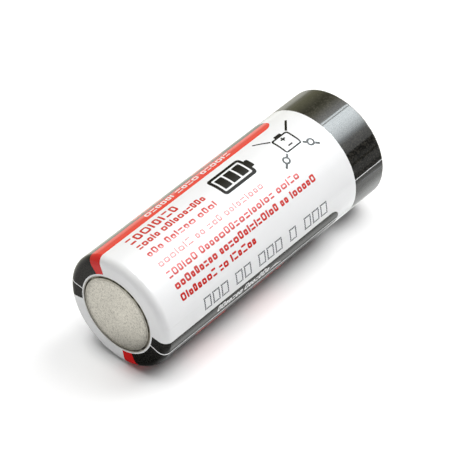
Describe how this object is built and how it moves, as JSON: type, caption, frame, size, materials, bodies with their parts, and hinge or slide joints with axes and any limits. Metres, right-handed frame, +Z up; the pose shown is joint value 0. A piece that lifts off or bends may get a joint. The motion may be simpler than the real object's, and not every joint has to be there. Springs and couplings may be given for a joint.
{
  "type": "cylindrical battery cell",
  "caption": "Cylindrical primary lithium cell in a printed shrink sleeve, with a flat metal negative end and a raised button at the positive end.",
  "frame": {"origin": "middle of the line that the cell rests on when it lies on its side, halfway along its length", "axes": "+X along the cell's axis, from the negative end to the positive end; +Z up, away from the surface that the cell lies on"},
  "size_m": [0.0506, 0.0184, 0.0185],
  "materials": {
    "sleeve_film": "glossy white PVC film printed in red and black",
    "can_steel": "dull nickel plate with a fine tumbled grain",
    "cap_steel": "satin nickel plate",
    "ring_board": "matte tan board",
    "washer_plastic": "matte pale grey",
    "lid_steel": "satin",
    "seal_glass": "dark green fused glass",
    "pin_steel": "satin",
    "lithium_foil": "dull silver-grey foil",
    "separator_felt": "soft white glass-fibre felt",
    "insulator_felt": "dense white glass-fibre board",
    "cathode_carbon": "porous black carbon",
    "collector_nickel": "satin nickel",
    "electrolyte_liquid": "clear straw-yellow liquid"
  },
  "bodies": {
    "root": {"shrink_sleeve": "sleeve_film", "can": "can_steel", "positive_cap": "cap_steel", "top_ring": "ring_board", "cap_insulator": "washer_plastic", "header_cover": "lid_steel", "glass_seal": "seal_glass", "terminal_pin": "pin_steel", "sealing_ball": "pin_steel", "fill_plug": "pin_steel", "lithium_anode": "lithium_foil", "separator_tube": "separator_felt", "separator_cup": "separator_felt", "bottom_insulator": "insulator_felt", "carbon_cathode": "cathode_carbon", "current_collector": "collector_nickel", "collector_tab": "collector_nickel", "top_separator": "separator_felt", "header_insulator": "insulator_felt", "electrolyte": "electrolyte_liquid"}
  },
  "joints": []
}
